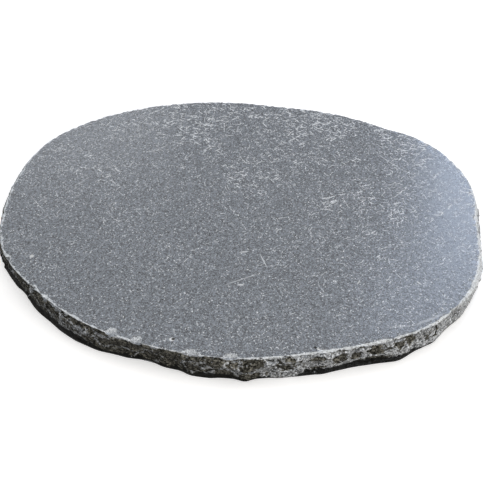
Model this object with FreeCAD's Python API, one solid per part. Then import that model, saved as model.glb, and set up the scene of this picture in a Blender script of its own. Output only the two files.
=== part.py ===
"""Garden stepping stone: one slab of bluestone, sawn flat above and below, with a hand-broken edge.

Millimetres, +Z up. The origin is the middle of the underside, which lies on the ground at z = 0.
The edge is made the way a mason makes it. A slab with a bulging rim is sawn to thickness, then
hammer blows from below break wide shell-shaped flakes off the rim, all the way round. Smaller
flakes leave pockets in those scars. Last, small spalls are bruised off the tread's arris.
"""

import FreeCAD
import Part
import math
import os

# Slab
LENGTH = 450.0  # along X, of the oval that the tread follows
WIDTH = 366.0  # along Y, of the same oval
THICKNESS = 28.0  # between the two sawn faces

# Tread outline: how far it stands outside (+) or inside (-) the oval, at even bearings from +X
OUTLINE_BULGE = [
    -4.5, 4.5, 6, -2, -4, -6, -2, 3, 8, 12.5, 13, 3,
    -3, -2, -7, -6, -5, -3, -1, -1, 3, 11, 10, -0.5,
]

# Rim before dressing, as distances outside the tread outline
ARRIS_BEVEL = 1.2  # height and reach of the crushed bevel round the tread
RIM_HEIGHT = 11.0  # height of the rim's widest line above the underside
RIM_REACH = 6.5  # how far that line stands out
FOOT_REACH = 5.5  # how far the underside stands out

# Hammer blows: bearing in degrees, reach of the scar outside the tread outline at half height,
# and how steeply it undercuts the stone, in degrees
BLOW_RADIUS = 250.0  # of the shallow shell-shaped scars
BLOWS = [
    (-179, 0.5, 4),
    (-169, 3.0, 3),
    (-161, 2.0, 5),
    (-153, 2.5, 3),
    (-146, 2.5, 5),
    (-139, 1.5, 3),
    (-132, 3.0, 4),
    (-124, 2.5, 8),
    (-114, -1.0, 14),
    (-100, 0.0, 9),
    (-81, 0.5, 12),
    (-70, 1.5, 9),
    (-55, 6.0, 1),
    (-31, -0.5, 5),
    (-21, 2.5, 9),
    (-8, -1.0, 3),
    (8, 0.5, 8),
    (24, 0.5, 4),
    (37, 3.0, 10),
    (52, -1.0, 6),
    (70, 1.0, 13),
    (86, 3.5, 3),
    (101, -0.5, 9),
    (119, 2.0, 5),
    (133, 0.0, 12),
    (149, 3.0, 8),
    (166, 0.5, 6),
]

# Pockets where smaller flakes came away: bearing in degrees, height, reach and radius of the scar
POCKETS = [
    (-154, 3, -2.5, 36),
    (-126, 12, -1.0, 24),
    (-114, 3, -7.0, 40),
    (-108, 5, -6.0, 36),
    (-94, 2, -3.5, 30),
    (-84, 3, -3.5, 30),
    (-74, 6, -2.0, 34),
    (-61, 5, 2.5, 40),
    (-48, 3, -1.5, 60),
    (-48, 17, -1.0, 22),
    (-42, 16, -2.5, 16),
    (-38, 3, -2.5, 90),
    (-13, 8, 1.0, 30),
    (17, 5, -3.0, 26),
    (45, 13, -2.5, 24),
    (61, 3, -4.0, 34),
    (93, 11, -1.5, 22),
    (110, 2, -4.0, 30),
    (141, 8, -3.0, 24),
    (158, 14, -1.5, 28),
    (175, 4, -0.5, 34),
]

# Spalls on the tread's arris: bearing in degrees, length along the arris and reach into the tread
SPALL_DEPTH = 1.6  # below the tread, at the deepest
SPALLS = [
    (-162, 8.0, 4.5),
    (-150, 6.0, 3.0),
    (-124, 10.5, 7.5),
    (-117, 11.0, 6.0),
    (-102.5, 18.0, 6.0),
    (-92.5, 13.5, 6.5),
]


def oval_radius(bearing):
    """Distance from the middle to the true oval, at a bearing in degrees."""
    across = WIDTH / 2 * math.cos(math.radians(bearing))
    along = LENGTH / 2 * math.sin(math.radians(bearing))
    return LENGTH * WIDTH / 4 / math.hypot(across, along)


def tread_radius(bearing):
    """Distance from the middle to the tread's arris, with the bulge eased from one station to the next."""
    stations = len(OUTLINE_BULGE)
    place = bearing % 360 * stations / 360
    station = int(place)
    ease = (1 - math.cos(math.pi * (place - station))) / 2
    here = OUTLINE_BULGE[station % stations]
    following = OUTLINE_BULGE[(station + 1) % stations]
    return oval_radius(bearing) + here + (following - here) * ease


def on_bearing(bearing, radius, height):
    """The point at that bearing, distance from the middle and height."""
    angle = math.radians(bearing)
    return FreeCAD.Vector(radius * math.cos(angle), radius * math.sin(angle), height)


def rim_wire(reach, height):
    """Closed smooth line that runs round the stone at one height, outside the tread outline by reach."""
    step = 360 / len(OUTLINE_BULGE)
    bearings = [step * station for station in range(len(OUTLINE_BULGE))]
    curve = Part.BSplineCurve()
    curve.interpolate(
        Points=[on_bearing(b, tread_radius(b) + reach, height) for b in bearings], PeriodicFlag=True
    )
    return Part.Wire([curve.toShape()])


def sawn_slab():
    """The slab before its edge is dressed: sawn faces, undercut foot, bulging rim and bevelled arris."""
    lines = [
        rim_wire(FOOT_REACH, 0),
        rim_wire(RIM_REACH, RIM_HEIGHT),
        rim_wire(0, THICKNESS - ARRIS_BEVEL),
        rim_wire(-ARRIS_BEVEL, THICKNESS),
    ]
    return Part.makeLoft(lines, True, True)


def ball_outside(bearing, reach, height, radius, undercut):
    """A ball that touches the stone's wall from outside, at that bearing, reach and height."""
    drop = math.radians(undercut)
    place = tread_radius(bearing) + reach + radius * math.cos(drop)
    ball = Part.makeSphere(radius)
    ball.rotate(FreeCAD.Vector(), FreeCAD.Vector(0, 0, 1), bearing)  # its seam then faces outwards
    ball.translate(on_bearing(bearing, place, height - radius * math.sin(drop)))
    return ball


def blow_scar(bearing, reach, undercut):
    """The ball whose surface is the wide scar of one hammer blow."""
    return ball_outside(bearing, reach, THICKNESS / 2, BLOW_RADIUS, undercut)


def pocket_scar(bearing, height, reach, radius):
    """The ball whose surface is the scar of one smaller, deeper flake."""
    return ball_outside(bearing, reach, height, radius, 0)


def spall_scar(bearing, length, reach):
    """The ball that takes a shallow spall off the arris, with that length along it and reach inwards."""
    spread = (length**2 / 4 + reach**2) / (2 * reach)  # radius of the spall's rim on the tread
    radius = (spread**2 + SPALL_DEPTH**2) / (2 * SPALL_DEPTH)
    place = tread_radius(bearing) + spread - reach
    centre = on_bearing(bearing, place, THICKNESS + radius - SPALL_DEPTH)
    outward = on_bearing(bearing, 1, 0)  # lays the ball's poles level, clear of the stone
    return Part.makeSphere(radius, centre, outward)


def stepping_stone():
    """The dressed stone, with its origin at the middle of its underside."""
    scars = [blow_scar(*blow) for blow in BLOWS]
    scars += [pocket_scar(*pocket) for pocket in POCKETS]
    scars += [spall_scar(*spall) for spall in SPALLS]
    stone = sawn_slab().cut(scars)
    middle = stone.optimalBoundingBox(False, False).Center
    stone.translate(FreeCAD.Vector(-middle.x, -middle.y, 0))
    return stone.Solids[0]


os.makedirs("parts", exist_ok=True)
stone = stepping_stone()
stone.exportStep("parts/stepping_stone.step")
box = stone.optimalBoundingBox(False, False)
print("size", [round(size, 1) for size in (box.XLength, box.YLength, box.ZLength)])
print("litres", round(stone.Volume / 1e6, 3), "faces", len(stone.Faces), "valid", stone.isValid())
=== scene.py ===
import bpy
import bmesh
import math
from mathutils import Matrix, Vector, noise
from mathutils.bvhtree import BVHTree


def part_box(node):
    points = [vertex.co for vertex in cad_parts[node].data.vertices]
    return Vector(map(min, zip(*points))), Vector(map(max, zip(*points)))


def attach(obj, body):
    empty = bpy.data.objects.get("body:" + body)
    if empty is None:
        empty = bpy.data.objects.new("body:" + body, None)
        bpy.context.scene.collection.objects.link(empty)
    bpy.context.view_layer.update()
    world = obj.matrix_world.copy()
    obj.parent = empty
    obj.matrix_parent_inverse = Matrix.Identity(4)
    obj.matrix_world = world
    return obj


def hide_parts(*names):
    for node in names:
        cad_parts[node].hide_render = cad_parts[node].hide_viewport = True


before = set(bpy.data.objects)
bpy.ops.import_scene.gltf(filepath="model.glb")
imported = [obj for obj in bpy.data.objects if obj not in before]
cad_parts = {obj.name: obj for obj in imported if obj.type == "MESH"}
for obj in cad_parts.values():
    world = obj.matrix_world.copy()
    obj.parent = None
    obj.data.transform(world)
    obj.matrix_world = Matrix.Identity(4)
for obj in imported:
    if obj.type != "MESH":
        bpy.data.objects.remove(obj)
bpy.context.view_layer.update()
mm = 0.001  # sizes below are in millimetres, Blender's are in metres
noise.seed_set(3)  # the noise vectors start from the clock otherwise
print("frame loaded:", sorted(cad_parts))


def ease(low, high, value):
    t = max(0.0, min(1.0, (value - low) / (high - low)))
    return t * t * (3 - 2 * t)


def linear(hexCode):
    channels = [int(hexCode[i:i + 2], 16) / 255 for i in (0, 2, 4)]
    return [c / 12.92 if c <= 0.04045 else ((c + 0.055) / 1.055) ** 2.4 for c in channels] + [1.0]


# links holds sockets to join and plain values to set, by the input's name or number:
# a MapRange has its value at 0, its from range at 1 and 2 and its to range at 3 and 4,
# and a colour Mix has its share at 0 and its two colours at 6 and 7
def addNode(tree, kind, links=None, **settings):
    node = tree.nodes.new("ShaderNode" + kind)
    for name, value in settings.items():
        setattr(node, name, value)
    for socket, value in (links or {}).items():
        if isinstance(value, bpy.types.NodeSocket):
            tree.links.new(value, node.inputs[socket])
        else:
            node.inputs[socket].default_value = value
    return node


# Stone slab: rings that follow the CAD stone
slab = {
    "node": "stepping_stone",
    "weld": 0.001,  # CAD corners that lie this close are one
    "segments": 1200,  # round the stone, about 1.1 mm each
    "core": 16.0,  # the rays that find the surface start this far inside the outline
    "outlineHeight": 25.5,  # where the outline is felt, below the arris and its spalls
    "outlineReach": 3,  # neighbours each way that the outline is smoothed over
    "treadEdgeDepth": 0.06,  # where the edge of the flat tread is felt, below the tread
    "innerShares": [0.1, 0.25, 0.4, 0.55, 0.7, 0.85, 1.0],  # rings from the middle to the core line
    "arrisStep": 0.35,  # ring spacing at the arris, which grows away from it
    "stepGrowth": 1.2,
    "wallStep": 0.95,  # largest spacing on the wall
    "faceStep": 4.0,  # largest spacing on the sawn faces, outside the core line
    "bluntDepth": 2.5,  # from this far below the tread, the ridges between the scars are blunted
    "bluntReach": 6,  # neighbours each way that the wall's rings are smoothed over, to blunt the ridges
}

cad = bmesh.new()
cad.from_mesh(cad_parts[slab["node"]].data)
bmesh.ops.remove_doubles(cad, verts=cad.verts, dist=slab["weld"] * mm)
cadTree = BVHTree.FromBMesh(cad)
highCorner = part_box(slab["node"])[1]
treadHeight = highCorner.z
turns = [2 * math.pi * i / slab["segments"] for i in range(slab["segments"])]


def around(turn, radius, height):
    return Vector((radius * math.cos(turn), radius * math.sin(turn), height))


def atTurn(ring, turn):
    return ring[round(turn / (2 * math.pi) * slab["segments"]) % slab["segments"]]


# each value of a ring averaged with its neighbours each way
def evened(ring, reach):
    span = range(-reach, reach + 1)
    sums = [sum((ring[(i + j) % len(ring)] for j in span), ring[0] * 0) for i in range(len(ring))]
    return [total / len(span) for total in sums]


# distance from the axis to the stone's wall, felt from outside at one height
def feelWall(height, reach):
    starts = [around(turn, 2 * highCorner.x, height) for turn in turns]
    hits = [cadTree.ray_cast(start, around(turn, -1, 0))[0] for start, turn in zip(starts, turns)]
    return evened([hit.xy.length for hit in hits], reach)


outline = feelWall(slab["outlineHeight"] * mm, slab["outlineReach"])
treadEdge = feelWall(treadHeight - slab["treadEdgeDepth"] * mm, 0)


def growingSteps(total, largest):
    places = []
    place, step = 0.0, slab["arrisStep"]
    while place < total:
        places.append(place)
        place += step
        step = min(step * slab["stepGrowth"], largest)
    return places


# stations run from the middle of the underside, up the wall, to the middle of the tread:
# share of the way to the core line, outset past that line, height
def sectionStations():
    tread = treadHeight / mm
    core = slab["core"]
    onFace = growingSteps(core, slab["faceStep"])
    onWall = growingSteps(tread, slab["wallStep"])
    stations = [(share, 0, 0) for share in slab["innerShares"]]
    stations += [(1, core - inset, 0) for inset in reversed(onFace)]
    stations += [(1, core, tread - depth) for depth in reversed(onWall[1:])]
    stations += [(1, core - inset, tread) for inset in onFace]
    stations += [(share, 0, tread) for share in reversed(slab["innerShares"])]
    return stations


# shoots from the core line through the station to the spot on the CAD stone
def onStone(turn, share, outset, height):
    core = (atTurn(outline, turn) - slab["core"] * mm) * share
    start = around(turn, core, treadHeight / 2)
    target = around(turn, core + outset * mm, height * mm)
    return cadTree.ray_cast(start, (target - start).normalized())[0]


# the extrusions leave the faces in another order each run, so they are sorted by their vertices
def sortFaces(stone):
    stone.verts.index_update()
    inOrder = sorted(stone.faces, key=lambda face: sorted(vert.index for vert in face.verts))
    places = {face: place for place, face in enumerate(inOrder)}
    stone.faces.sort(key=places.get)


def ringedStone():
    stone = bmesh.new()
    bmesh.ops.create_circle(stone, cap_ends=True, cap_tris=True, segments=slab["segments"],
                            radius=highCorner.x)
    rim = [edge for edge in stone.edges if edge.is_boundary]
    for place, (share, outset, height) in enumerate(sectionStations()):
        if place:
            grown = bmesh.ops.extrude_edge_only(stone, edges=rim)["geom"]
            rim = [item for item in grown if isinstance(item, bmesh.types.BMEdge) and item.is_boundary]
        ring = [onStone(turn, share, outset, height) for turn in turns]
        if outset and height < treadHeight / mm - slab["bluntDepth"]:
            ring = evened(ring, slab["bluntReach"])
        for vert in {vert for edge in rim for vert in edge.verts}:
            vert.co = atTurn(ring, math.atan2(vert.co.y, vert.co.x))
    lid = bmesh.ops.edgeloop_fill(stone, edges=rim)["faces"]
    bmesh.ops.poke(stone, faces=lid)
    bmesh.ops.recalc_face_normals(stone, faces=stone.faces)
    sortFaces(stone)
    return stone


# Broken edge: its relief, and the wear, painted light and painted shade that the materials show on it
brokenEdge = {
    "facets": [(6.0, 1.1), (15.0, 2.4)],  # breadth and lean of the fracture faces, the broadest last
    "bedding": 1.2,  # they are this much longer along the edge than they are high
    "leanSpread": 3.7,  # takes the leans of neighbours from spots of the noise that lie apart
    "ridge": 0.35,  # breadth of the ridges between the broadest ones, as a share of theirs
    "ledge": 7.0,  # height between the terraces
    "ledgeLength": 5.0,  # they are this much longer along the edge than they are high
    "ledgeSlope": 0.1,
    "ledgeDepth": 0.5,
    "hackle": 2.4,  # breadth of the fine ridges
    "hackleDepth": 0.6,
    "hackleOctaves": (0.9, 2.1, 3),  # fall, growth and number of the noise's octaves
    "reliefTop": (0.4, 3.0),  # depths below the tread between which the relief grows to its full height
    "reliefFoot": (0.0, 5.0),  # heights above the ground between which it does the same
    "underside": 0.02,  # what lies lower than this is the sawn underside
    "nibble": 7.0,  # length of the bruises that round the arris
    "nibbleDepth": 1.8,
    "nibbleReach": 2.0,
    "nibbleShare": 0.1,  # the more, the more of the arris is bruised
    "nibbleWay": (-0.8, -0.6),  # inwards and down
    "nibbleOctaves": (0.8, 2.0, 3),
    "spallInset": (1.8, 2.8),  # what lies this far inside the outline is a spall and not the wall,
    "spallTop": (0.05, 0.3),  # from this depth below the tread
    "spallFloor": (1.8, 2.5),  # to this one
    "spallGrain": 1.7,
    "spallDepth": 0.8,
    "hollowDepth": 0.8,
    "hollowRim": (0.7, 1.1),  # shares of a hollow's size between which it rises to the wall
    "hollowRagged": 0.4,
    "brokenTop": (0.0, 0.3),  # depths below the tread between which the sawn skin gives way
    "crushFade": 0.5,  # breadth over which the crushed line ends on the tread
    "crushSpread": 1.6,  # depth over which it ends on the wall, as a share of its own depth
    "crushLeast": 0.7,  # and the least of that depth
    "crushRagged": 0.7,
    "spallClear": 2.0,  # keeps the crushed line out of the spalls
    "frostBar": 0.89,  # the more, the less of the wall is frosted
    "frostRidge": 0.5,  # what a ridge, the luck of a fracture face and the height add to the frost; the height's part is painted shade, with less frost right under the arris and towards the foot
    "frostLuck": 0.7,
    "frostHeight": 0.4,
    "frostTop": (2.0, 9.0),  # depths below the tread between which the height adds more and more
    "frostFoot": (11.0, 18.0),  # and those between which this share of it goes again
    "frostFootLoss": 0.7,
    "hollowDark": 1.05,  # share of the frost that a hollow takes away
    "footShadeRagged": 2.5,
    "footShadeFade": 4.0,  # height over which the painted shade of the dark foot ends
    "undercut": 0.35,  # painted shade right under the arris, counted as a sunk level of the wall
    "undercutDepth": (0.8, 3.0),  # depths below the tread between which that ends
    "easing": 16,  # rounds of smoothing that tell which spots stand proud of their neighbours
}
# bearing in degrees, share of the wall that is frosted with crushed stone, height of the dark foot of
# painted shade, depth of the pale crushed line under the tread, and how far that line reaches on to the
# tread
weatheringAndShade = [
    (-180, 0.00, 14.0, 0.4, 1.3),
    (-158, 0.00, 14.5, 0.4, 1.6),
    (-145, 0.12, 12.0, 0.35, 1.6),
    (-132, 0.15, 9.0, 0.35, 1.4),
    (-125, 0.00, 4.5, 0.6, 0.9),
    (-110, 0.00, 4.5, 0.4, 0.5),
    (-104, 0.05, 6.0, 0.4, 0.4),
    (-98, 0.20, 8.5, 0.5, 0.4),
    (-92, 0.22, 6.5, 0.5, 0.4),
    (-84, 0.80, 1.5, 0.9, 0.6),
    (-77, 1.00, 1.5, 1.0, 0.6),
    (-74, 1.00, 5.0, 1.0, 0.6),
    (-66, 1.20, 8.0, 1.0, 0.6),
    (-58, 1.15, 10.5, 1.0, 0.6),
    (-54, 1.05, 8.5, 0.9, 0.6),
    (-48, 0.95, 5.0, 0.7, 0.6),
    (-42, 1.40, 2.5, 1.5, 0.6),
    (-37, 1.90, 0.5, 4.0, 0.6),
    (-30, 2.00, 0.0, 14.0, 0.6),
    (-15, 2.10, 0.0, 8.0, 0.6),
    (-6, 2.20, 0.0, 4.5, 0.6),
    (4, 2.20, 0.0, 4.0, 0.6),
    (25, 1.80, 0.0, 1.2, 0.6),
    (60, 0.45, 3.0, 0.7, 0.5),
    (130, 0.35, 3.0, 0.5, 0.5),
    (180, 0.00, 14.0, 0.4, 1.3),
]
# shallow hollows in the broken edge, dark inside from less frost and from painted shade: bearing in degrees,
# height of the middle, length and tallness
hollows = [
    (-160.0, 22.0, 56.0, 20.0),
    (-121.0, 20.0, 30.0, 12.0),
    (-110.0, 20.0, 26.0, 12.0),
    (-87.5, 19.0, 22.0, 14.0),
    (-79.3, 18.5, 24.0, 17.5),
    (-71.0, 21.5, 20.0, 6.0),
    (-70.5, 9.5, 13.0, 5.0),
    (-65.0, 17.0, 14.5, 12.0),
    (-61.3, 17.5, 11.0, 11.0),
    (-58.0, 8.5, 30.0, 8.0),
    (-56.2, 20.0, 24.0, 13.0),
    (-49.5, 20.0, 27.0, 15.5),
    (-42.2, 15.0, 23.0, 17.0),
]


# at a spot of the broken face, in millimetres: how far it stands out, how near it is to the ridge
# between two of the broadest fracture faces, and the luck of the one that it lies on
def brokenFace(spot):
    relief = 0.0
    for breadth, lean in brokenEdge["facets"]:
        cells = Vector((spot.x, spot.y, spot.z * brokenEdge["bedding"])) / breadth
        distances, middles = noise.voronoi(cells)
        tilt = noise.noise_vector(middles[0] * brokenEdge["leanSpread"])
        relief += tilt.dot(cells - middles[0]) * lean
    ridge = 1 - ease(0.0, brokenEdge["ridge"], distances[1] - distances[0])
    length = brokenEdge["ledgeLength"]
    terrace = noise.noise(Vector((spot.x / length, spot.y / length, spot.z)) / brokenEdge["ledge"])
    slope = brokenEdge["ledgeSlope"]
    relief += (ease(-slope, slope, terrace) - 0.5) * brokenEdge["ledgeDepth"]
    hackle = noise.fractal(spot / brokenEdge["hackle"], *brokenEdge["hackleOctaves"])
    relief += hackle * brokenEdge["hackleDepth"]
    return relief, ridge, tilt.z


# one in the spalls of the arris, zero elsewhere
def spallAt(inward, depth):
    begun = ease(*brokenEdge["spallInset"], inward) * ease(*brokenEdge["spallTop"], depth)
    return begun * (1 - ease(*brokenEdge["spallFloor"], depth))


# one inside a hollow, zero past its ragged rim
def hollowAt(spot, turn, coarse):
    sunk = 0.0
    for bearing, height, length, tallness in hollows:
        along = (turn - math.radians(bearing)) * spot.xy.length / (length / 2)
        away = math.hypot(along, (spot.z - height) / (tallness / 2))
        sunk = max(sunk, 1 - ease(*brokenEdge["hollowRim"], away + brokenEdge["hollowRagged"] * coarse))
    return sunk


def weatheringAndShadeAt(turn):
    bearing = math.degrees(turn)
    for low, high in zip(weatheringAndShade, weatheringAndShade[1:]):
        if low[0] <= bearing <= high[0]:
            t = (bearing - low[0]) / (high[0] - low[0])
            return [low[i] + (high[i] - low[i]) * t for i in (1, 2, 3, 4)]


# moves the edge and keeps, for each of its vertices, levels that the materials cut at zero
def roughenEdge(stone):
    stone.normal_update()
    names = ("broken", "spalled", "crushed", "frostAndPaintedLight", "paintedShade", "proud")
    layers = {name: stone.verts.layers.float.new(name) for name in names}
    moves = {}
    for vert in stone.verts:
        spot = vert.co / mm
        turn = math.atan2(spot.y, spot.x)
        inward = atTurn(outline, turn) / mm - spot.xy.length
        vert[layers["crushed"]] = -1
        if inward > slab["core"] or spot.z < brokenEdge["underside"]:
            continue
        depth = treadHeight / mm - spot.z
        strip = max(0, atTurn(treadEdge, turn) / mm - spot.xy.length)  # of flat tread, out to the arris
        relief, ridge, luck = brokenFace(spot)
        coarse = noise.fractal(spot / brokenEdge["nibble"], *brokenEdge["nibbleOctaves"])
        spall = spallAt(inward, depth)
        sunk = hollowAt(spot, turn, coarse)

        wall = ease(*brokenEdge["reliefTop"], depth) * (1 - spall)
        foot = ease(*brokenEdge["reliefFoot"], spot.z)
        shell = noise.noise(spot / brokenEdge["spallGrain"]) * brokenEdge["spallDepth"]
        move = (relief - brokenEdge["hollowDepth"] * sunk) * wall * foot + shell * spall
        nearArris = math.exp(-(strip + depth) / brokenEdge["nibbleReach"])
        bruise = max(0, coarse + brokenEdge["nibbleShare"]) * brokenEdge["nibbleDepth"] * nearArris
        away = around(turn, *brokenEdge["nibbleWay"]) * bruise * (1 - spall)
        moves[vert] = (vert.normal * move + away) * mm

        frostShare, footShadeHeight, crushDepth, crushReach = weatheringAndShadeAt(turn)
        vert[layers["broken"]] = ease(*brokenEdge["brokenTop"], depth)
        vert[layers["spalled"]] = spall
        edged = (crushReach * (1 + coarse) - strip) / brokenEdge["crushFade"]
        spread = max(brokenEdge["crushSpread"] * crushDepth, brokenEdge["crushLeast"])
        lined = min((crushDepth - depth) / spread, edged)
        torn = brokenEdge["crushRagged"] * coarse
        vert[layers["crushed"]] = lined + torn - brokenEdge["spallClear"] * spall
        # the height's part of the frost is painted shade: less of it right under the arris and towards the
        # foot
        lost = brokenEdge["frostFootLoss"] * ease(*brokenEdge["frostFoot"], depth)
        height = ease(*brokenEdge["frostTop"], depth) * (1 - lost)
        level = frostShare * (1 - brokenEdge["hollowDark"] * sunk) - brokenEdge["frostBar"]
        level += brokenEdge["frostRidge"] * ridge
        level += brokenEdge["frostLuck"] * luck
        vert[layers["frostAndPaintedLight"]] = level + brokenEdge["frostHeight"] * height
        # the dark foot is painted shade, a dark colour where shade falls under the stone
        below = footShadeHeight + brokenEdge["footShadeRagged"] * coarse - spot.z
        vert[layers["paintedShade"]] = below / brokenEdge["footShadeFade"]
        # paints shade right under the arris by counting the wall there as sunk
        shaded = 1 - ease(*brokenEdge["undercutDepth"], depth)
        vert[layers["proud"]] = -brokenEdge["undercut"] * shaded
    for vert, move in moves.items():
        vert.co += move
        vert.co.z = min(max(vert.co.z, 0), treadHeight)
    feelRelief(stone, moves, layers["proud"])


# how far each vertex of the edge was moved out past the eased moves round it, in millimetres
def feelRelief(stone, moves, layer):
    stone.verts.index_update()
    stone.normal_update()
    eased = stone.copy()
    eased.verts.ensure_lookup_table()
    for vert in eased.verts:
        vert.co = Vector()
    twins = [eased.verts[vert.index] for vert in moves]
    for twin, move in zip(twins, moves.values()):
        twin.co = move
    for i in range(brokenEdge["easing"]):
        bmesh.ops.smooth_vert(eased, verts=twins, factor=0.5,
                              use_axis_x=True, use_axis_y=True, use_axis_z=True)
    for twin, (vert, move) in zip(twins, moves.items()):
        vert[layer] += (move - twin.co).dot(vert.normal) / mm
    eased.free()


def makeStone():
    stone = ringedStone()
    roughenEdge(stone)
    mesh = bpy.data.meshes.new("bluestoneSlab")
    stone.to_mesh(mesh)
    stone.free()
    mesh.shade_smooth()
    piece = bpy.data.objects.new("bluestoneSlab", mesh)
    bpy.context.scene.collection.objects.link(piece)
    return piece


stonePiece = makeStone()
print("stone slab:", len(stonePiece.data.vertices), "vertices", len(stonePiece.data.polygons), "faces")


# Bluestone: a dense grey-blue limestone. Sawn and tumbled, its faces are dull and covered with short
# pale scratches. Broken, it is darker and hackly, and pale powder stays where the hammer crushed it.
# A cover below is the range of a coat's strength from grain to grain, and an edge is how far noise tears
# the rim of a coat and how soft that rim is.
bluestone = {
    "grainDark": "595a5c",
    "grainPale": "9aa0a7",
    "fleck": "d6d7d6",
    "scratch": "f0f2f4",
    "pit": "33322e",
    "brokenDark": "171612",
    "brokenPale": "949288",
    "frostDark": "696d72",
    "frostPale": "ebf0f6",
    "powder": "e6ebef",
    # colour of the painted shade in the hollows, right under the arris and at the foot
    "paintedShade": "080806",
    "noiseSpan": (0.3, 0.7),  # the range of a noise texture's values that is used
    "noiseCore": (0.35, 0.65),  # and a narrower one, for patches with firmer rims
    "grain": 0.9,  # breadth of the grains on the sawn face, coarser than real ones so that they show
    "mottle": 5.0,  # breadth of the slightly paler and darker patches
    "mottleShare": 0.04,
    "fleckBar": 0.945,  # the grains with more luck than this are bright
    "fleckStrength": 0.9,
    "patches": [(45.0, 3.0, 80.0), (18.0, 2.0, 60.0)],  # of scratches: breadth, detail and reach
    "farLean": 0.35,  # scratches get denser towards the back, and by this share towards the right
    "strokeBow": 0.25,
    "strokeCore": 0.3,  # a stroke fades past this share of its width and length
    "strokeFade": 0.15,
    "strokeCover": (0.1, 1.4),
    "layerShift": (3.1, 8.6, 0.7),  # start, step and skew, so that no two layers share their cells
    "pitCell": 11.0,
    "pitBar": 0.65,  # the cells with more luck than this have a pit
    "pitRadius": 0.6,
    "markCore": 0.6,  # a single mark fades past this share of its size
    "spallBar": 0.4,  # what is deeper in a spall than this has powder on it
    "spallEdge": (0.6, 0.15),
    "spallCover": (0.05, 0.6),
    "arrisCover": (0.45, 1.0),  # of the powder on the tread's side of the arris
    "sawnRoughness": 0.19,
    "scratchRoughness": 0.7,
    "sawnIor": 1.55,
    "sawnBump": (0.15, 0.05),  # strength and height
    "crystal": 1.2,  # breadth of the grains in the broken face
    "sparkle": 2.0,  # the more, the fewer of them are bright
    "streak": (9.0, 9.0, 2.2),  # lengths of the streaks in the broken face
    "streakTilt": 25.0,  # degrees
    "streakShade": (0.45, 1.4),
    "vein": 4.0,  # breadth of the ragged edges of frost, damp and powder
    "frostGrit": (0.2, 0.7),  # luck of the dark and of the pale grains of frost
    "proudHighlight": 1.2,  # what a millimetre of relief adds to the frost, as a painted highlight on what stands proud
    "frostEdge": (0.4, 0.12),
    "frostCover": (0.25, 1.1),
    "hollowShadeRelief": (-0.5, -0.1),  # relief at which the painted shade of a hollow is strongest and at which it ends
    "hollowShadeStrength": 0.7,
    "footShadeEdge": (0.25, 0.13),
    "footShadeCover": (1.0, 0.94),
    "powderEdge": (0.5, 0.15),
    "powderCover": (0.25, 1.1),
    "brokenRoughness": 0.85,
    "brokenSpecular": 0.2,
    "brokenBump": (0.7, 0.5),
    "brokenShare": 0.5,  # a face gets the broken material if more than this of it is broken,
    "brokenSlope": 0.75,  # and if its normal points up by less than this
}
# cell, length, width, share of the cells that have one where the stone is most worn, half range of the
# turn in degrees, and how far back from the middle they start and are densest
scratches = [
    (1.6, 1.7, 0.35, 0.2, 180, -360, 250),
    (3.4, 4.2, 0.4, 0.33, 180, -230, 250),
    (7.0, 9.0, 0.45, 0.31, 180, -230, 250),
    (45.0, 36.0, 0.5, 0.2, 180, -300, 250),
    (5.0, 5.5, 0.8, 0.5, 60, 45, 210),
    (8.5, 9.5, 0.8, 0.55, 60, 45, 210),
]
singleMarks = [  # x, y, length, width, turn in degrees, colour and strength
    (-184.8, -62.7, 4.8, 4.8, 0, "fleck", 0.95),
    (-55.7, -160.5, 5.4, 4.8, 0, "scratch", 0.85),
    (-54.7, -160.2, 3.6, 3.0, 0, "pit", 1.0),
    (58.7, -169.2, 3.2, 2.8, 0, "pit", 1.0),
    (61.1, -171.0, 4.0, 2.4, -35, "fleck", 0.9),
    (151.7, -96.5, 7.0, 1.6, -50, "fleck", 0.9),
    (100.1, -95.6, 6.8, 1.6, 60, "fleck", 0.8),
    (166.7, -126.5, 4.4, 1.6, -55, "fleck", 0.8),
    (19.2, -68.4, 21.0, 1.3, -71, "scratch", 0.62),
    (0.6, -91.7, 38.0, 1.6, 25, "scratch", 0.34),
    (-0.7, -98.7, 7.0, 1.8, 0, "scratch", 0.9),
    (2.2, -57.2, 10.0, 2.2, 10, "scratch", 0.6),
    (128.7, -146.6, 30.0, 3.0, 6, "scratch", 0.16),
    (153.7, -139.0, 34.0, 3.0, 27, "scratch", 0.25),
]


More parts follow.
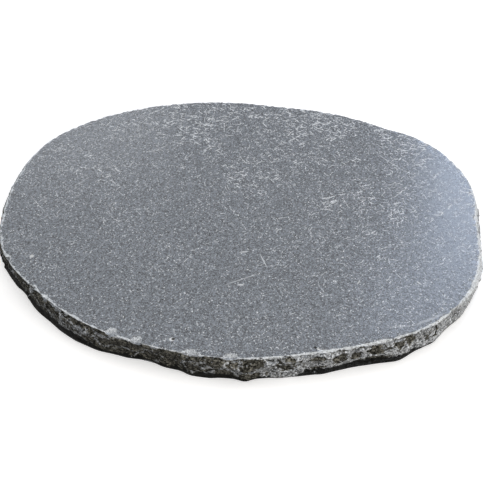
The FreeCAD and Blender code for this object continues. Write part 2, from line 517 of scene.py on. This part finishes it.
# one scratch in each cell: a short bent line, turned at random
def scratchLayer(tree, place, wear, cell, length, width, share, swing, shift):
    scaled = addNode(tree, "VectorMath", {0: place, 1: [1 / (cell * mm)] * 3, 2: shift},
                     operation="MULTIPLY_ADD")
    cells = addNode(tree, "TexVoronoi", {"Vector": scaled.outputs[0], "Scale": 1.0},
                    voronoi_dimensions="2D")
    local = addNode(tree, "VectorMath", {0: scaled.outputs[0], 1: cells.outputs["Position"]},
                    operation="SUBTRACT")
    luck = addNode(tree, "SeparateColor", {0: cells.outputs["Color"]})
    angle = addNode(tree, "MapRange", {0: luck.outputs[0], 3: -math.radians(swing), 4: math.radians(swing)})
    turned = addNode(tree, "VectorRotate", {"Vector": local.outputs[0], "Angle": angle.outputs[0]},
                     rotation_type="Z_AXIS")
    axes = addNode(tree, "SeparateXYZ", {0: turned.outputs[0]})
    along = addNode(tree, "Math", {0: axes.outputs[0]}, operation="ABSOLUTE")
    bow = addNode(tree, "MapRange", {0: luck.outputs[1], 3: -bluestone["strokeBow"],
                                     4: bluestone["strokeBow"]})
    square = addNode(tree, "Math", {0: along.outputs[0], 1: along.outputs[0]}, operation="MULTIPLY")
    bend = addNode(tree, "Math", {0: bow.outputs[0], 1: square.outputs[0], 2: axes.outputs[1]},
                   operation="MULTIPLY_ADD")
    across = addNode(tree, "Math", {0: bend.outputs[0]}, operation="ABSOLUTE")
    core = bluestone["strokeCore"]
    thin = addNode(tree, "MapRange", {0: across.outputs[0], 1: core * width / cell, 2: width / cell,
                                      3: 1.0, 4: 0.0}, interpolation_type="SMOOTHSTEP")
    short = addNode(tree, "MapRange", {0: along.outputs[0], 1: core * length / cell, 2: length / 2 / cell,
                                       3: 1.0, 4: 0.0}, interpolation_type="SMOOTHSTEP")
    line = addNode(tree, "Math", {0: thin.outputs[0], 1: short.outputs[0]}, operation="MULTIPLY")
    bar = addNode(tree, "Math", {0: wear, 1: -share, 2: 1.0}, operation="MULTIPLY_ADD")
    over = addNode(tree, "Math", {0: luck.outputs[2], 1: bar.outputs[0]}, operation="SUBTRACT")
    drawn = addNode(tree, "MapRange", {0: over.outputs[0], 2: bluestone["strokeFade"]})
    return addNode(tree, "Math", {0: line.outputs[0], 1: drawn.outputs[0]}, operation="MULTIPLY").outputs[0]


# noise from -1 to 1 that tears the edges of frost, damp and powder
def raggedNoise(tree, place):
    veins = addNode(tree, "TexNoise", {"Vector": place, "Scale": 1 / (bluestone["vein"] * mm),
                                       "Detail": 5.0, "Roughness": 0.7})
    low, high = bluestone["noiseSpan"]
    return addNode(tree, "MapRange", {0: veins.outputs[0], 1: low, 2: high, 3: -1.0, 4: 1.0}).outputs[0]


# one where an edge level, torn by noise, is above zero
def raggedMask(tree, level, ragged, edge):
    reach, softness = edge
    torn = addNode(tree, "Math", {0: ragged, 1: reach, 2: level}, operation="MULTIPLY_ADD")
    return addNode(tree, "MapRange", {0: torn.outputs[0], 1: -softness, 2: softness},
                   interpolation_type="SMOOTHSTEP").outputs[0]


# a mask, stronger on one grain than on another
def grainyMask(tree, mask, luck, cover):
    strength = addNode(tree, "MapRange", {0: luck, 3: cover[0], 4: cover[1]})
    return addNode(tree, "Math", {0: mask, 1: strength.outputs[0]}, operation="MULTIPLY").outputs[0]


def tumbledStone():
    material = bpy.data.materials.new("tumbledBluestone")
    material.use_nodes = True
    tree = material.node_tree
    shader = tree.nodes["Principled BSDF"]
    place = addNode(tree, "TexCoord").outputs["Object"]

    # sawn grains, with a pale fleck here and there
    cells = addNode(tree, "TexVoronoi", {"Vector": place, "Scale": 1 / (bluestone["grain"] * mm)})
    luck = addNode(tree, "SeparateColor", {0: cells.outputs["Color"]}).outputs
    mottle = addNode(tree, "TexNoise", {"Vector": place, "Scale": 1 / (bluestone["mottle"] * mm),
                                        "Detail": 3.0, "Roughness": 0.7})
    low, high = bluestone["noiseSpan"]
    patchy = addNode(tree, "MapRange", {0: mottle.outputs[0], 1: low, 2: high,
                                        3: -bluestone["mottleShare"], 4: bluestone["mottleShare"]})
    pale = addNode(tree, "Math", {0: luck[0], 1: patchy.outputs[0]}, operation="ADD", use_clamp=True)
    coats = [(pale.outputs[0], "grainPale")]
    bright = addNode(tree, "MapRange", {0: luck[1], 1: bluestone["fleckBar"], 2: 1.0,
                                        4: bluestone["fleckStrength"]})

    # scratches of tumbling, denser towards the far side
    axes = addNode(tree, "SeparateXYZ", {0: place})
    far = addNode(tree, "Math", {0: axes.outputs[0], 1: bluestone["farLean"], 2: axes.outputs[1]},
                  operation="MULTIPLY_ADD").outputs[0]
    low, high = bluestone["noiseCore"]
    for breadth, detail, shift in bluestone["patches"]:
        patches = addNode(tree, "TexNoise", {"Vector": place, "Scale": 1 / (breadth * mm), "Detail": detail})
        moved = addNode(tree, "MapRange", {0: patches.outputs[0], 1: low, 2: high,
                                           3: -shift * mm, 4: shift * mm})
        far = addNode(tree, "Math", {0: far, 1: moved.outputs[0]}, operation="ADD").outputs[0]
    marks = bright.outputs[0]
    first, step, skew = bluestone["layerShift"]
    for i, (cell, length, width, share, swing, start, full) in enumerate(scratches):
        wear = addNode(tree, "MapRange", {0: far, 1: start * mm, 2: full * mm})
        along = first + step * i
        layer = scratchLayer(tree, place, wear.outputs[0], cell, length, width, share, swing,
                             [along, along * skew, 0])
        dotted = grainyMask(tree, layer, luck[2], bluestone["strokeCover"])
        marks = addNode(tree, "Math", {0: marks, 1: dotted}, operation="MAXIMUM").outputs[0]
    coats.append((marks, "scratch"))

    # pits, and the larger marks one by one
    pits = addNode(tree, "TexVoronoi", {"Vector": place, "Scale": 1 / (bluestone["pitCell"] * mm)},
                   voronoi_dimensions="2D")
    pitLuck = addNode(tree, "SeparateColor", {0: pits.outputs["Color"]})
    pitSize = addNode(tree, "MapRange", {0: pitLuck.outputs[0], 1: bluestone["pitBar"], 2: 1.0, 3: 0.0,
                                         4: bluestone["pitRadius"] / bluestone["pitCell"]})
    pitted = addNode(tree, "Math", {0: pits.outputs["Distance"], 1: pitSize.outputs[0]},
                     operation="LESS_THAN")
    coats.append((pitted.outputs[0], "pit"))
    for x, y, length, width, turn, tint, strength in singleMarks:
        mark = addNode(tree, "Mapping", {"Vector": place, "Location": (x * mm, y * mm, treadHeight),
                                         "Rotation": (0, 0, math.radians(turn)),
                                         "Scale": (length / 2 * mm, width / 2 * mm, mm)},
                       vector_type="TEXTURE")
        away = addNode(tree, "VectorMath", {0: mark.outputs[0]}, operation="LENGTH")
        shown = addNode(tree, "MapRange", {0: away.outputs["Value"], 1: bluestone["markCore"], 2: 1.0,
                                           3: strength, 4: 0.0})
        coats.append((shown.outputs[0], tint))

    # powder along the arris and in the spalls
    ragged = raggedNoise(tree, place)
    crushed = addNode(tree, "Attribute", attribute_name="crushed")
    line = raggedMask(tree, crushed.outputs["Fac"], ragged, bluestone["powderEdge"])
    bruised = grainyMask(tree, line, luck[0], bluestone["arrisCover"])
    spalled = addNode(tree, "Attribute", attribute_name="spalled")
    bowl = addNode(tree, "Math", {0: spalled.outputs["Fac"], 1: bluestone["spallBar"]}, operation="SUBTRACT")
    torn = raggedMask(tree, bowl.outputs[0], ragged, bluestone["spallEdge"])
    shell = grainyMask(tree, torn, luck[2], bluestone["spallCover"])
    powder = addNode(tree, "Math", {0: bruised, 1: shell}, operation="MAXIMUM")
    coats.append((powder.outputs[0], "powder"))

    colour = linear(bluestone["grainDark"])
    for mask, tint in coats:
        colour = addNode(tree, "Mix", {0: mask, 6: colour, 7: linear(bluestone[tint])},
                         data_type="RGBA").outputs[2]
    tree.links.new(colour, shader.inputs["Base Color"])
    rough = addNode(tree, "MapRange", {0: marks, 3: bluestone["sawnRoughness"],
                                       4: bluestone["scratchRoughness"]})
    tree.links.new(rough.outputs[0], shader.inputs["Roughness"])
    shader.inputs["IOR"].default_value = bluestone["sawnIor"]
    strength, height = bluestone["sawnBump"]
    bump = addNode(tree, "Bump", {"Strength": strength, "Distance": height * mm, "Height": pale.outputs[0]})
    tree.links.new(bump.outputs[0], shader.inputs["Normal"])
    return material


def brokenStone():
    material = bpy.data.materials.new("brokenBluestone")
    material.use_nodes = True
    tree = material.node_tree
    shader = tree.nodes["Principled BSDF"]
    place = addNode(tree, "TexCoord").outputs["Object"]
    cells = addNode(tree, "TexVoronoi", {"Vector": place, "Scale": 1 / (bluestone["crystal"] * mm)})
    luck = addNode(tree, "SeparateColor", {0: cells.outputs["Color"]}).outputs
    level = {name: addNode(tree, "Attribute", attribute_name=name).outputs["Fac"]
             for name in ("spalled", "crushed", "frostAndPaintedLight", "paintedShade", "proud")}
    ragged = raggedNoise(tree, place)

    # dark heart of the stone, with streaks and small bright crystals
    along = addNode(tree, "Mapping", {"Vector": place,
                                      "Rotation": (0, math.radians(bluestone["streakTilt"]), 0),
                                      "Scale": [length * mm for length in bluestone["streak"]]},
                    vector_type="TEXTURE")
    streaks = addNode(tree, "TexNoise", {"Vector": along.outputs[0], "Scale": 1.0, "Detail": 3.0})
    low, high = bluestone["noiseSpan"]
    dim, full = bluestone["streakShade"]
    shade = addNode(tree, "MapRange", {0: streaks.outputs[0], 1: low, 2: high, 3: dim, 4: full})
    sparkle = addNode(tree, "Math", {0: luck[0], 1: bluestone["sparkle"]}, operation="POWER")
    glint = addNode(tree, "Math", {0: sparkle.outputs[0], 1: shade.outputs[0]}, operation="MULTIPLY",
                    use_clamp=True)

    # frost of crushed grains, with a painted highlight on what stands proud and painted shade right under
    # the arris and towards the foot
    low, high = bluestone["frostGrit"]
    grit = addNode(tree, "MapRange", {0: luck[1], 1: low, 2: high})
    frost = addNode(tree, "Mix", {0: grit.outputs[0], 6: linear(bluestone["frostDark"]),
                                  7: linear(bluestone["frostPale"])}, data_type="RGBA")
    frostAndLightLevel = addNode(tree, "Math", {0: level["proud"], 1: bluestone["proudHighlight"], 2: level["frostAndPaintedLight"]},
                     operation="MULTIPLY_ADD")
    frostAndPaintedLight = raggedMask(tree, frostAndLightLevel.outputs[0], ragged, bluestone["frostEdge"])
    frostAndLightCoat = grainyMask(tree, frostAndPaintedLight, luck[2], bluestone["frostCover"])

    # painted shade in the hollows, right under the arris and at the foot
    low, high = bluestone["hollowShadeRelief"]
    # painted shade: the lower a spot lies below its neighbours, the darker
    hollowShade = addNode(tree, "MapRange", {0: level["proud"], 1: low, 2: high,
                                      3: bluestone["hollowShadeStrength"], 4: 0.0})
    # painted shade at the foot
    shadedFoot = raggedMask(tree, level["paintedShade"], ragged, bluestone["footShadeEdge"])
    footShadeCoat = grainyMask(tree, shadedFoot, luck[2], bluestone["footShadeCover"])

    # powder along the arris and in the spalls
    line = raggedMask(tree, level["crushed"], ragged, bluestone["powderEdge"])
    bruised = grainyMask(tree, line, luck[2], bluestone["powderCover"])
    shell = addNode(tree, "Math", {0: level["spalled"], 1: luck[1]}, operation="MULTIPLY")
    powder = addNode(tree, "Math", {0: bruised, 1: shell.outputs[0]}, operation="MAXIMUM")

    coats = [
        (glint.outputs[0], linear(bluestone["brokenPale"])),
        (frostAndLightCoat, frost.outputs[2]),
        (hollowShade.outputs[0], linear(bluestone["paintedShade"])),
        (footShadeCoat, linear(bluestone["paintedShade"])),
        (powder.outputs[0], linear(bluestone["powder"])),
    ]
    colour = linear(bluestone["brokenDark"])
    for mask, coat in coats:
        colour = addNode(tree, "Mix", {0: mask, 6: colour, 7: coat}, data_type="RGBA").outputs[2]
    tree.links.new(colour, shader.inputs["Base Color"])
    shader.inputs["Roughness"].default_value = bluestone["brokenRoughness"]
    shader.inputs["Specular IOR Level"].default_value = bluestone["brokenSpecular"]
    strength, height = bluestone["brokenBump"]
    bump = addNode(tree, "Bump", {"Strength": strength, "Distance": height * mm, "Height": luck[0]})
    tree.links.new(bump.outputs[0], shader.inputs["Normal"])
    return material


stonePiece.data.materials.append(tumbledStone())
stonePiece.data.materials.append(brokenStone())
brokenAt = stonePiece.data.attributes["broken"].data
for face in stonePiece.data.polygons:
    share = sum(brokenAt[v].value for v in face.vertices) / len(face.vertices)
    isBroken = share > bluestone["brokenShare"] and face.normal.z < bluestone["brokenSlope"]
    face.material_index = int(isBroken)
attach(stonePiece, "root")
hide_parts(slab["node"])
print("stone dressed")


# Studio: pale floor, soft lamps, camera
studio = {
    "floorRadius": 8.0,  # metres
    "floorSegments": 64,
    "floorDrop": 0.1,  # the floor lies this far under the stone, in millimetres
    "floorWhite": "f0f0f0",
    "floorBounce": "303030",  # the floor's colour for the light that it throws back at the stone
    "floorGlow": 0.45,
    "farGlow": 1.0,
    "farFloor": (0.9, 3.0),  # metres from the stone between which the glow grows to that of the far floor
    "ambient": 0.2,
    "viewElevation": 42.0,  # degrees
    "viewAngle": 30.0,
    "viewTarget": (0.03, -43.51),  # on the tread, in millimetres
    "viewDistance": 808.6,
    "viewNear": 0.01,  # metres
}
# places, aims and sizes in metres; a lamp that isn't mirrored leaves no sheen on the stone
lamps = {
    "skyWindow": {"place": (1.30, 2.10, 1.52), "aim": (1.30, 1.36, 0.85), "size": (1.18, 0.84),
                  "watts": 16.3, "colour": "ccdfff", "mirrored": True},
    "highGlow": {"place": (1.09, 1.68, 1.99), "aim": (1.09, 0.94, 1.32), "size": (1.22, 0.41),
                 "watts": 3.6, "colour": "ccdfff", "mirrored": True},
    "backGlow": {"place": (-0.85, 2.33, 1.26), "aim": (-0.85, 1.59, 0.59), "size": (1.15, 0.84),
                 "watts": 3.2, "colour": "f4f8ff", "mirrored": True},
    "overheadBox": {"place": (-0.3, 0.0, 3.0), "aim": (0, 0, 0), "size": (2.6, 2.6),
                    "watts": 49.6, "colour": "faf9f8", "mirrored": True},
    "rightFill": {"place": (2.2, -1.2, 0.6), "aim": (0, 0, 0), "size": (1.2, 1.2),
                  "watts": 34.5, "colour": "fffaf4", "mirrored": False},
    "frontFill": {"place": (0.6, -2.5, 0.8), "aim": (0, 0, 0), "size": (1.6, 0.8),
                  "watts": 12.0, "colour": "fffaf4", "mirrored": False},
}


def pointAt(piece, place, aim):
    piece.location = place
    piece.rotation_euler = (Vector(aim) - Vector(place)).to_track_quat("-Z", "Y").to_euler()


# white paper, darker in the light that it throws back at the stone
def paperBackdrop():
    material = bpy.data.materials.new("paperBackdrop")
    material.use_nodes = True
    tree = material.node_tree
    shader = tree.nodes["Principled BSDF"]
    path = addNode(tree, "LightPath")
    seen = addNode(tree, "Math", {0: path.outputs["Is Camera Ray"], 1: path.outputs["Is Glossy Ray"]},
                   operation="MAXIMUM")
    seen = addNode(tree, "Math", {0: seen.outputs[0], 1: path.outputs["Is Transmission Ray"]},
                   operation="MAXIMUM").outputs[0]
    colour = addNode(tree, "Mix", {0: seen, 6: linear(studio["floorBounce"]),
                                   7: linear(studio["floorWhite"])}, data_type="RGBA")
    tree.links.new(colour.outputs[2], shader.inputs["Base Color"])
    place = addNode(tree, "TexCoord").outputs["Object"]
    away = addNode(tree, "VectorMath", {0: place}, operation="LENGTH").outputs["Value"]
    near, far = studio["farFloor"]
    level = addNode(tree, "MapRange", {0: away, 1: near, 2: far, 3: studio["floorGlow"],
                                       4: studio["farGlow"]})
    glow = addNode(tree, "Math", {0: seen, 1: level.outputs[0]}, operation="MULTIPLY")
    tree.links.new(glow.outputs[0], shader.inputs["Emission Strength"])
    shader.inputs["Emission Color"].default_value = linear("ffffff")
    shader.inputs["Roughness"].default_value = 1.0
    shader.inputs["Specular IOR Level"].default_value = 0.0
    return material


def makeFloor():
    ground = bmesh.new()
    bmesh.ops.create_circle(ground, cap_ends=True, segments=studio["floorSegments"],
                            radius=studio["floorRadius"],
                            matrix=Matrix.Translation((0, 0, -studio["floorDrop"] * mm)))
    mesh = bpy.data.meshes.new("studioFloor")
    ground.to_mesh(mesh)
    ground.free()
    mesh.materials.append(paperBackdrop())
    floor = bpy.data.objects.new("studioFloor", mesh)
    bpy.context.scene.collection.objects.link(floor)


def makeLamps():
    for name, lamp in lamps.items():
        data = bpy.data.lights.new(name, "AREA")
        data.shape = "RECTANGLE"
        data.size, data.size_y = lamp["size"]
        data.energy = lamp["watts"]
        data.color = linear(lamp["colour"])[:3]
        piece = bpy.data.objects.new(name, data)
        piece.visible_camera = False
        piece.visible_glossy = lamp["mirrored"]
        pointAt(piece, lamp["place"], lamp["aim"])
        bpy.context.scene.collection.objects.link(piece)


# white where it is seen, dim as a light
def makeWorld():
    world = bpy.data.worlds.new("studioAir")
    bpy.context.scene.world = world
    world.use_nodes = True
    tree = world.node_tree
    path = addNode(tree, "LightPath")
    seen = addNode(tree, "Math", {0: path.outputs["Is Camera Ray"], 1: path.outputs["Is Transmission Ray"]},
                   operation="MAXIMUM")
    strength = addNode(tree, "MapRange", {0: seen.outputs[0], 3: studio["ambient"], 4: 1.0})
    background = tree.nodes["Background"]
    background.inputs["Color"].default_value = linear("ffffff")
    tree.links.new(strength.outputs[0], background.inputs["Strength"])


def makeCamera():
    data = bpy.data.cameras.new("camera")
    data.sensor_fit = "HORIZONTAL"
    data.angle = math.radians(studio["viewAngle"])
    data.clip_start = studio["viewNear"]
    camera = bpy.data.objects.new("camera", data)
    tilt = math.radians(studio["viewElevation"])
    target = Vector((*studio["viewTarget"], treadHeight / mm)) * mm
    back = Vector((0, -math.cos(tilt), math.sin(tilt)))
    pointAt(camera, target + back * studio["viewDistance"] * mm, target)
    bpy.context.scene.collection.objects.link(camera)
    bpy.context.scene.camera = camera


makeFloor()
makeLamps()
makeWorld()
makeCamera()
bpy.context.scene.view_settings.view_transform = "Standard"
print("studio set")
